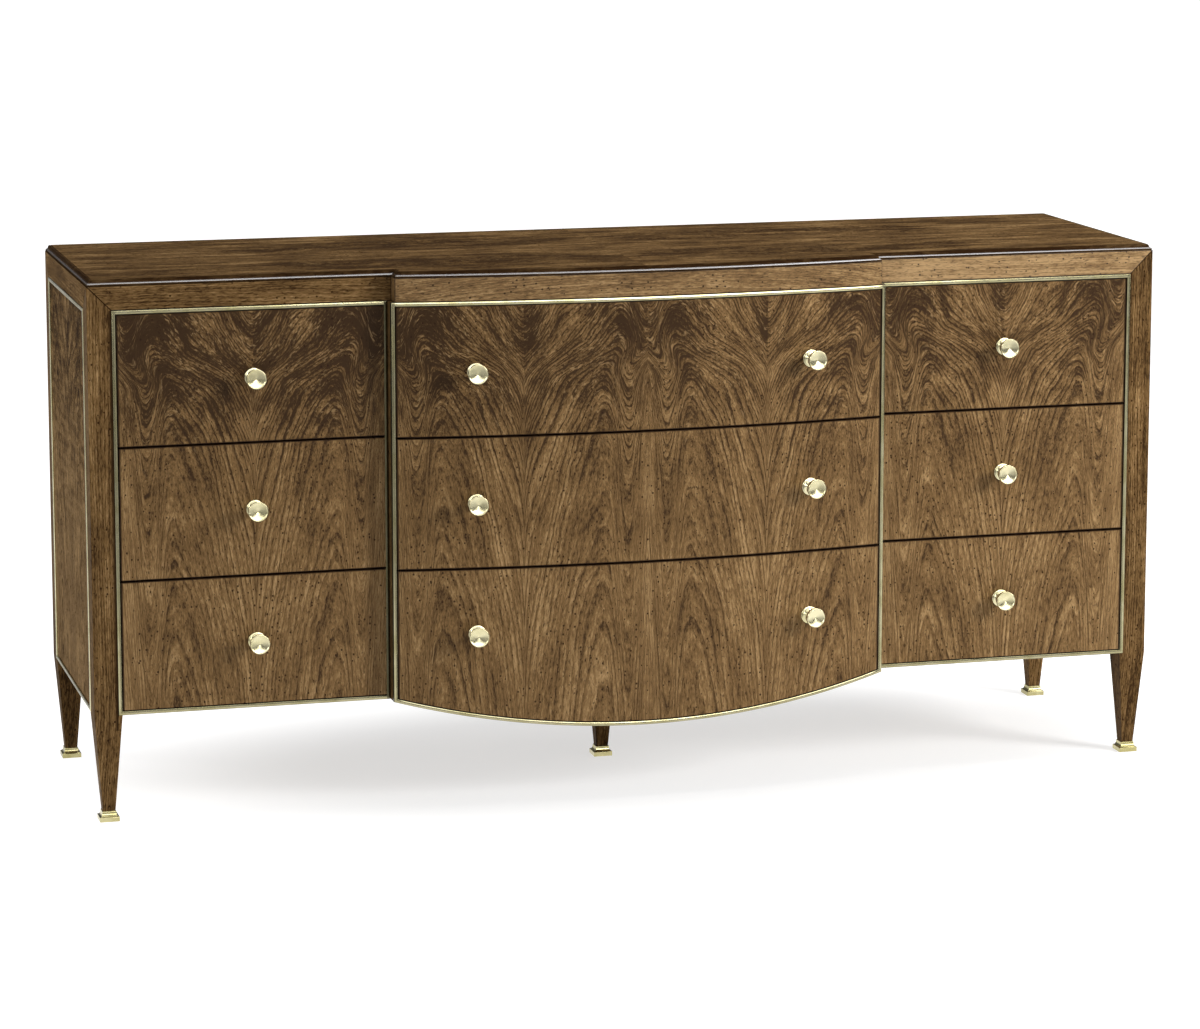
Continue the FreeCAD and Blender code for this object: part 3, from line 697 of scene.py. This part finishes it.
def finished(name, bm, material, body, node):
    """Turns a bmesh into a piece that rides on a body and stands for a CAD node."""
    mesh = bpy.data.meshes.new(name)
    bm.to_mesh(mesh)
    bm.free()
    mesh.materials.append(bpy.data.materials[material])
    piece = bpy.data.objects.new(name, mesh)
    bpy.context.scene.collection.objects.link(piece)
    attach(piece, body)
    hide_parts(node)


def eased(node, width):
    """A copy of a CAD node with its doubles merged and its sharp edges eased."""
    bm = bmesh.new()
    bm.from_mesh(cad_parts[node].data)
    bmesh.ops.remove_doubles(bm, verts=bm.verts, dist=MERGE_DISTANCE)
    bmesh.ops.dissolve_limit(bm, angle_limit=COPLANAR_ANGLE, verts=bm.verts, edges=bm.edges)
    sharp = [e for e in bm.edges if e.is_manifold and e.calc_face_angle() > SHARP_ANGLE]
    made = bmesh.ops.bevel(bm, geom=sharp, offset=width, offset_type="OFFSET", segments=2, profile=0.5,
                           affect="EDGES", clamp_overlap=True, material=-1)
    smoothed(bm, set(made["faces"]))
    return bm


def smoothed(bm, rounded=frozenset()):
    """Smooths a bmesh, and keeps its flat faces flat beside their rounded edges."""
    for face in bm.faces:
        face.smooth = True
    for edge in bm.edges:
        if edge.is_manifold:
            beside = sum(face in rounded for face in edge.link_faces) == 1
            edge.smooth = edge.calc_face_angle() < (FLAT_ANGLE if beside else SMOOTH_ANGLE)


def arc_drop(radius, run):
    """How far an arc falls away from its crown at a distance from its middle."""
    return radius - math.sqrt(radius * radius - run * run)


def bead(node):
    """A brass bead round a bay: a mitred ring of the node's size, deepened and rounded over in front."""
    low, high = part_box(node)
    middle, size = (low + high) / 2, high - low
    side = math.copysign(1.0, middle.x) if "side" in node else 0.0
    bm = bmesh.new()
    bmesh.ops.create_grid(bm, x_segments=1, y_segments=1, size=0.5)
    bmesh.ops.scale(bm, vec=(size.y if side else size.x, size.z, 1.0), verts=bm.verts)
    rim = bmesh.ops.inset_region(bm, faces=bm.faces[:], thickness=BEAD_WIDTH, use_boundary=True,
                                 use_even_offset=True)["faces"]
    bmesh.ops.delete(bm, geom=[f for f in bm.faces if f not in rim], context="FACES")
    bmesh.ops.inset_region(bm, faces=bm.faces[:], thickness=CROWN_REACH, depth=CROWN_RISE, use_boundary=True,
                           use_even_offset=True)
    bmesh.ops.translate(bm, vec=(0.0, 0.0, -CROWN_RISE), verts=bm.verts)
    if "center" in node:
        for step in range(1, BOW_STEPS):
            bmesh.ops.bisect_plane(bm, geom=bm.verts[:] + bm.edges[:] + bm.faces[:], plane_no=(1.0, 0.0, 0.0),
                                   plane_co=(size.x * (step / BOW_STEPS - 0.5), 0.0, 0.0))
    made = bmesh.ops.extrude_face_region(bm, geom=bm.faces[:])["geom"]
    back = [v for v in made if isinstance(v, bmesh.types.BMVert)]
    bmesh.ops.translate(bm, vec=(0.0, 0.0, -BEAD_DEPTH), verts=back)
    bmesh.ops.recalc_face_normals(bm, faces=bm.faces)
    ahead = [e for e in bm.edges if min(v.co.z for v in e.verts) > -BEAD_DEPTH / 2]
    corners = [e for e in ahead if e.calc_face_angle() > 1.0]
    made = bmesh.ops.bevel(bm, geom=corners, offset=BEAD_ROUND, offset_type="OFFSET", segments=2, profile=0.5,
                           affect="EDGES", clamp_overlap=True, material=-1)
    smoothed(bm, set(made["faces"]))
    face = Vector((middle.x, low.y, middle.z))
    if side:
        face = Vector((high.x if side > 0 else low.x, middle.y, middle.z))
    turn = Matrix.Translation(face) @ Matrix.Rotation(side * math.pi / 2, 4, "Z")
    bmesh.ops.transform(bm, matrix=turn @ Matrix.Rotation(math.pi / 2, 4, "X"), verts=bm.verts)
    if "center" in node:
        bend(bm, low, high)
    return bm


def bend(bm, low, high):
    """Bends the centre's bead back along the bow, and its lower half up along the arch."""
    rise = bead_foot - low.z
    arch_radius = (high.x * high.x + rise * rise) / (2 * rise)
    for vert in bm.verts:
        vert.co.y += arc_drop(BOW_RADIUS, vert.co.x)
        if vert.co.z < (low.z + high.z) / 2:
            vert.co.z += arc_drop(arch_radius, vert.co.x)


def dressed(node, material, body, width):
    """The eased piece that stands for a CAD node."""
    finished(node + "_dressed", eased(node, width), material, body, node)


class DRESSER_OT_finishes(bpy.types.Operator):
    """Makes the walnut, hardwood and brass materials"""
    bl_idname = "dresser.finishes"
    bl_label = "Finishes"

    def execute(self, context):
        leaf_flow_group()
        walnut_grain_group()
        edge_glazing_and_shade_group()
        front_veneer("wing_veneer", wing_seam, wing_seam, wing_half)
        front_veneer("center_veneer", center_seam, 0.0, center_half)
        # Lit and shaded copies of one walnut: the centre and right friezes are painted lighter, as painted
        # light and sheen from the key lamp at the right, and the right front post is painted darker, as
        # painted shade that takes back the key lamp's light
        straight_veneer("post_walnut", "Z", rings=0.55, tone=-0.12, contrast=1.05)
        straight_veneer("post_right_walnut", "Z", rings=0.55, tone=-0.19, contrast=1.05)
        straight_veneer("frieze_left_walnut", "X", rings=0.55, tone=-0.12, contrast=1.05)
        straight_veneer("frieze_center_walnut", "X", rings=0.45, tone=0.02, contrast=1.05, gloss=0.2)
        straight_veneer("frieze_right_walnut", "X", rings=0.45, tone=0.20, contrast=1.05, gloss=0.3)
        straight_veneer("side_rail_walnut", "Y", rings=0.55, tone=-0.06, contrast=1.1, gloss=SLANT_GLOSS)
        # The rails between the drawers are painted dark, as painted shade in the gaps between the fronts
        straight_veneer("stained_rail", "X", rings=0.4, tone=-0.30)
        straight_veneer("stained_back", "X", rings=0.25, tone=-0.06, contrast=0.8)
        side_veneer("side_walnut", node_center("side_panel_left").y, 0.20)
        top_veneer("top_walnut", node_center("top_panel").y)
        plain_wood("hardwood_x", "X")
        plain_wood("hardwood_y", "Y")
        satin_brass("satin_brass")
        satin_brass("ferrule_brass", aging=0.6)
        # The front beads carry painted shade and painted dark reflections
        satin_brass("bead_brass", aging=0.2, shaded_bead=True)
        return {"FINISHED"}


class DRESSER_OT_fronts(bpy.types.Operator):
    """Makes the nine veneered drawer fronts"""
    bl_idname = "dresser.fronts"
    bl_label = "Drawer Fronts"

    def execute(self, context):
        width = context.scene.dresser_wood.ease
        for bay in BAYS:
            veneer = "center_veneer" if bay == "center" else "wing_veneer"
            for row in ROWS:
                body = f"drawer_{bay}_{row}"
                dressed(body + "_front", veneer, body, width)
        return {"FINISHED"}


# The veneer of each piece of the case
CASE_VENEERS = {
    "top_panel": "top_walnut",
    "frieze_left": "frieze_left_walnut",
    "frieze_center": "frieze_center_walnut",
    "frieze_right": "frieze_right_walnut",
    "side_rail_left": "side_rail_walnut",
    "side_rail_right": "side_rail_walnut",
    "side_panel_left": "side_walnut",
    "side_panel_right": "side_walnut",
    "leg_front_left": "post_walnut",
    "leg_front_right": "post_right_walnut",
    "leg_back_left": "post_walnut",
    "leg_back_right": "post_walnut",
    "leg_center": "post_walnut",
    "partition_left": "post_walnut",
    "partition_right": "post_walnut",
    "apron": "frieze_left_walnut",
}


class DRESSER_OT_case(bpy.types.Operator):
    """Makes the top, posts, legs, friezes, side panels and stiles"""
    bl_idname = "dresser.case"
    bl_label = "Case"

    def execute(self, context):
        width = context.scene.dresser_wood.ease
        for node, material in CASE_VENEERS.items():
            dressed(node, material, "case", width)
        return {"FINISHED"}


class DRESSER_OT_brasswork(bpy.types.Operator):
    """Makes the brass beads and the ferrules"""
    bl_idname = "dresser.brasswork"
    bl_label = "Beads and Ferrules"

    def execute(self, context):
        width = context.scene.dresser_wood.ease / 2
        for node in sorted(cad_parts):
            if node.startswith("brass_bead"):
                material = "satin_brass" if "side" in node else "bead_brass"
                finished(node + "_rounded", bead(node), material, "case", node)
        dressed("ferrules", "ferrule_brass", "case", width)
        return {"FINISHED"}


# Radius of a knob as a share of its head's, and height as a share of its reach, from the front face out
KNOB_PROFILE = (
    (0.0, 0.0), (0.895, 0.0), (0.909, 0.012), (0.909, 0.058), (0.894, 0.082), (0.862, 0.095), (0.800, 0.099),
    (0.760, 0.104), (0.700, 0.130), (0.610, 0.190), (0.520, 0.270), (0.450, 0.350), (0.410, 0.430),
    (0.394, 0.500), (0.400, 0.570), (0.430, 0.640), (0.490, 0.705), (0.580, 0.755), (0.680, 0.788),
    (0.790, 0.806), (0.900, 0.820), (0.960, 0.835), (0.992, 0.862), (1.0, 0.900), (1.0, 0.935),
    (0.994, 0.968), (0.974, 0.990), (0.945, 1.0), (0.912, 0.999), (0.888, 0.991), (0.872, 0.979),
    (0.855, 0.971), (0.835, 0.967), (0.430, 0.921), (0.080, 0.881), (0.050, 0.877), (0.0, 0.875))
SCREW_PROFILE = (
    (0.0, 0.02), (0.12, 0.02), (0.12, -0.600), (0.230, -0.600), (0.262, -0.618), (0.273, -0.650),
    (0.262, -0.678), (0.230, -0.683), (0.045, -0.683), (0.045, -0.650), (0.0, -0.650))


def turned(bm, profile, radius, reach, segments):
    """Adds a turned form that stands on z = 0."""
    verts = [bm.verts.new((share * radius, 0.0, height * reach)) for share, height in profile]
    edges = [bm.edges.new(pair) for pair in zip(verts, verts[1:])]
    bmesh.ops.spin(bm, geom=verts + edges, cent=(0.0, 0.0, 0.0), axis=(0.0, 0.0, 1.0),
                   angle=math.tau, steps=segments, use_merge=True)


def knob_mesh(place, turn):
    """One knob with its screw, laid to face forwards from its place."""
    brass = bpy.context.scene.dresser_brass
    bm = bmesh.new()
    for profile in (KNOB_PROFILE, SCREW_PROFILE):
        turned(bm, profile, brass.knob_radius, brass.knob_reach, brass.knob_segments)
    bmesh.ops.remove_doubles(bm, verts=bm.verts, dist=MERGE_DISTANCE)
    bmesh.ops.recalc_face_normals(bm, faces=bm.faces)
    pose = Matrix.Translation(place) @ Matrix.Rotation(turn, 4, "Z") @ Matrix.Rotation(math.pi / 2, 4, "X")
    bmesh.ops.transform(bm, matrix=pose, verts=bm.verts)
    smoothed(bm)
    return bm


def joined(name, parts):
    """One bmesh from several."""
    whole = bmesh.new()
    for part in parts:
        mesh = bpy.data.meshes.new(name)
        part.to_mesh(mesh)
        part.free()
        whole.from_mesh(mesh)
        bpy.data.meshes.remove(mesh)
    return whole


def knob_places(node):
    """Where a node's knobs stand on their front, with the turn of each."""
    brass = bpy.context.scene.dresser_brass
    low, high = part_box(node)
    height = (low.z + high.z) / 2
    if "center" not in node:
        return [(Vector(((low.x + high.x) / 2, low.y + brass.knob_reach, height)), 0.0)]
    lean, back = math.sin(brass.knob_turn), math.cos(brass.knob_turn)
    stand = high.x - brass.knob_radius * back - brass.knob_reach * lean
    face = low.y + brass.knob_reach * back + brass.knob_radius * lean
    return [(Vector((side * stand, face, height)), side * brass.knob_turn) for side in (-1, 1)]


class DRESSER_OT_knobs(bpy.types.Operator):
    """Turns the twelve dished knobs with their screws"""
    bl_idname = "dresser.knobs"
    bl_label = "Knobs"

    def execute(self, context):
        for bay in BAYS:
            for row in ROWS:
                body = f"drawer_{bay}_{row}"
                node = body + ("_knobs" if bay == "center" else "_knob")
                name = node + "_turned"
                whole = joined(name, [knob_mesh(place, turn) for place, turn in knob_places(node)])
                finished(name, whole, "satin_brass", body, node)
        return {"FINISHED"}


class DRESSER_OT_insides(bpy.types.Operator):
    """Finishes the drawer boxes, runners, floor and back in plain hardwood"""
    bl_idname = "dresser.insides"
    bl_label = "Insides"

    def execute(self, context):
        for node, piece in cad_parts.items():
            if piece.hide_render:
                continue
            material = "hardwood_x" if node.startswith("floor") else "hardwood_y"
            # The rails carry painted shade for the gaps between the fronts
            if node.startswith("drawer_rails"):
                material = "stained_rail"
            if node.startswith("back"):
                material = "stained_back"
            piece.data.materials.clear()
            piece.data.materials.append(bpy.data.materials[material])
        return {"FINISHED"}


# Each lamp's place, target, width and depth, and whether brass and lacquer mirror it
LAMPS = (
    ("key", (3.9, -2.9, 2.3), (0.2, 0.0, 0.5), (1.5, 1.5), False),
    ("glint", (1.7, -5.8, 2.2), (0.0, 0.0, 0.5), (0.9, 0.9), True),
    ("fill", (-4.2, -4.6, 2.2), (0.0, 0.0, 0.5), (3.0, 3.0), True),
    ("side", (-4.8, 1.2, 2.0), (-0.9, 0.0, 0.5), (2.4, 2.4), False),
    ("top", (0.9, -0.1, 4.2), (0.9, -0.1, 0.9), (2.8, 0.7), True))
# Strength of the room's light on matt faces
ROOM_LIGHT = 0.29
CAMERA_PLACE = (-1.81754, -6.61476, 1.72967)
CAMERA_YAW = math.radians(15.29)
CAMERA_PITCH = math.radians(9.04)
CAMERA_SHIFT = -0.10


class DRESSER_OT_studio(bpy.types.Operator):
    """Sets up the pale floor, the lamps and the camera"""
    bl_idname = "dresser.studio"
    bl_label = "Studio"

    def execute(self, context):
        studio = context.scene.dresser_studio
        make_floor()
        make_world(context.scene)
        for name, place, target, size, mirrored in LAMPS:
            make_lamp(name + "_lamp", place, target, size, getattr(studio, name + "_power"), mirrored)
        make_camera(context.scene, studio.lens)
        return {"FINISHED"}


def make_floor():
    """A wide pale floor that glows white away from the dresser and less near it, so that it keeps the shadow.
    """
    bm = bmesh.new()
    bmesh.ops.create_grid(bm, x_segments=1, y_segments=1, size=30.0)
    mesh = bpy.data.meshes.new("studio_floor")
    bm.to_mesh(mesh)
    bm.free()
    material, graph, shader = new_material("pale_floor")
    path = graph.add("LightPath")
    tones = graph.mix(path.outputs["Is Diffuse Ray"], (0.42, 0.42, 0.42, 1.0), (0.80, 0.80, 0.80, 1.0))
    seen = graph.larger(path.outputs["Is Camera Ray"], path.outputs["Is Glossy Ray"])
    place = object_vector(graph)
    # For the camera the floor glows less near the dresser, so its shadow shows there, and white further out
    under = graph.shift(place, (-0.10, 0.0, 0.0))
    reach = graph.add("VectorMath", {0: graph.stretch(under, (0.80, 1.50, 1.0))}, operation="LENGTH")
    glow = graph.spread(reach.outputs["Value"], 0.45, 1.05, 0.60, 1.0)
    # In reflections the floor glows brighter in front of the dresser and dimmer behind it, as painted shade
    forward = graph.separate(place)[1]
    front = graph.spread(forward, -1.8, -0.6, 0.12, 0.95)
    front = graph.times(front, graph.spread(forward, 0.0, 0.8, 1.0, 0.25))
    glow = graph.times(glow, graph.minus(1.0, path.outputs["Is Glossy Ray"]))
    glow = graph.scaled(front, path.outputs["Is Glossy Ray"], glow)
    graph.fill(shader, {
        "Base Color": tones, "Roughness": 0.9, "Specular IOR Level": 0.1,
        "Emission Color": (1.0, 1.0, 1.0, 1.0), "Emission Strength": graph.times(seen, glow)})
    mesh.materials.append(material)
    floor = bpy.data.objects.new("studio_floor", mesh)
    bpy.context.scene.collection.objects.link(floor)


def make_world(scene):
    """A soft room that the camera sees as white."""
    world = bpy.data.worlds.new("studio_room")
    world.use_nodes = True
    graph = Graph(world.node_tree)
    path = graph.add("LightPath")
    back = next(n for n in world.node_tree.nodes if n.type == "BACKGROUND")
    right, ahead, height = graph.separate(graph.add("TexCoord").outputs["Generated"])
    room = graph.spread(height, -0.05, 0.5, 0.22, 0.10)
    above = graph.times(graph.spread(height, 0.62, 0.86), graph.spread(right, 0.12, 0.36, 1.7, 3.2))
    soft = graph.times(graph.spread(height, 0.16, 0.24), graph.spread(height, 0.52, 0.42))
    soft = graph.times(soft, graph.spread(right, 0.0, 0.40, 3.2, 7.0))
    soft = graph.times(soft, graph.spread(ahead, 0.25, -0.15))
    room = graph.plus(graph.plus(room, above), soft)
    glow = graph.larger(path.outputs["Is Camera Ray"], path.outputs["Is Transmission Ray"])
    glow = graph.scaled(path.outputs["Is Diffuse Ray"], ROOM_LIGHT, glow)
    glow = graph.scaled(path.outputs["Is Glossy Ray"], room, glow)
    graph.fill(back, {"Color": (1.0, 1.0, 1.0, 1.0), "Strength": glow})
    scene.world = world


def make_lamp(name, place, target, size, power, mirrored):
    """A soft lamp, wide and deep, that points at a target."""
    data = bpy.data.lights.new(name, "AREA")
    data.shape = "RECTANGLE"
    data.size, data.size_y = size
    data.energy = power
    lamp = bpy.data.objects.new(name, data)
    aim = (Vector(target) - Vector(place)).to_track_quat("-Z", "Y")
    lamp.matrix_world = Matrix.Translation(place) @ aim.to_matrix().to_4x4()
    lamp.visible_glossy = mirrored
    bpy.context.scene.collection.objects.link(lamp)


def make_camera(scene, lens):
    """The camera at the photograph's viewing angle."""
    data = bpy.data.cameras.new("photo_camera")
    data.sensor_width = 36.0
    data.sensor_fit = "HORIZONTAL"
    data.lens = lens
    data.shift_y = CAMERA_SHIFT
    camera = bpy.data.objects.new("photo_camera", data)
    camera.location = CAMERA_PLACE
    camera.rotation_euler = (math.radians(90) - CAMERA_PITCH, 0.0, -CAMERA_YAW)
    scene.collection.objects.link(camera)
    scene.camera = camera
    scene.view_settings.view_transform = "Standard"


class DRESSER_PT_panel(bpy.types.Panel):
    """Lists the dresser's settings and steps"""
    bl_label = "Dresser"
    bl_idname = "DRESSER_PT_panel"
    bl_space_type = "VIEW_3D"
    bl_region_type = "UI"
    bl_category = "Dresser"

    def draw(self, context):
        layout = self.layout
        for group in (context.scene.dresser_wood, context.scene.dresser_brass, context.scene.dresser_studio):
            box = layout.box()
            for key in group.bl_rna.properties.keys():
                if key not in ("rna_type", "name"):
                    box.prop(group, key)
        for operator in OPERATORS:
            layout.operator(operator.bl_idname)


GROUPS = (DresserWood, DresserBrass, DresserStudio)
OPERATORS = (DRESSER_OT_finishes, DRESSER_OT_fronts, DRESSER_OT_case, DRESSER_OT_brasswork,
             DRESSER_OT_knobs, DRESSER_OT_insides, DRESSER_OT_studio)


def register():
    for cls in (*GROUPS, *OPERATORS, DRESSER_PT_panel):
        bpy.utils.register_class(cls)
    bpy.types.Scene.dresser_wood = PointerProperty(type=DresserWood)
    bpy.types.Scene.dresser_brass = PointerProperty(type=DresserBrass)
    bpy.types.Scene.dresser_studio = PointerProperty(type=DresserStudio)


def unregister():
    for name in ("dresser_wood", "dresser_brass", "dresser_studio"):
        delattr(bpy.types.Scene, name)
    for cls in reversed((*GROUPS, *OPERATORS, DRESSER_PT_panel)):
        bpy.utils.unregister_class(cls)


def main():
    """Builds the whole scene in order."""
    register()
    bpy.ops.dresser.finishes()
    bpy.ops.dresser.fronts()
    bpy.ops.dresser.case()
    bpy.ops.dresser.brasswork()
    bpy.ops.dresser.knobs()
    bpy.ops.dresser.insides()
    bpy.ops.dresser.studio()


if __name__ == "__main__":
    main()
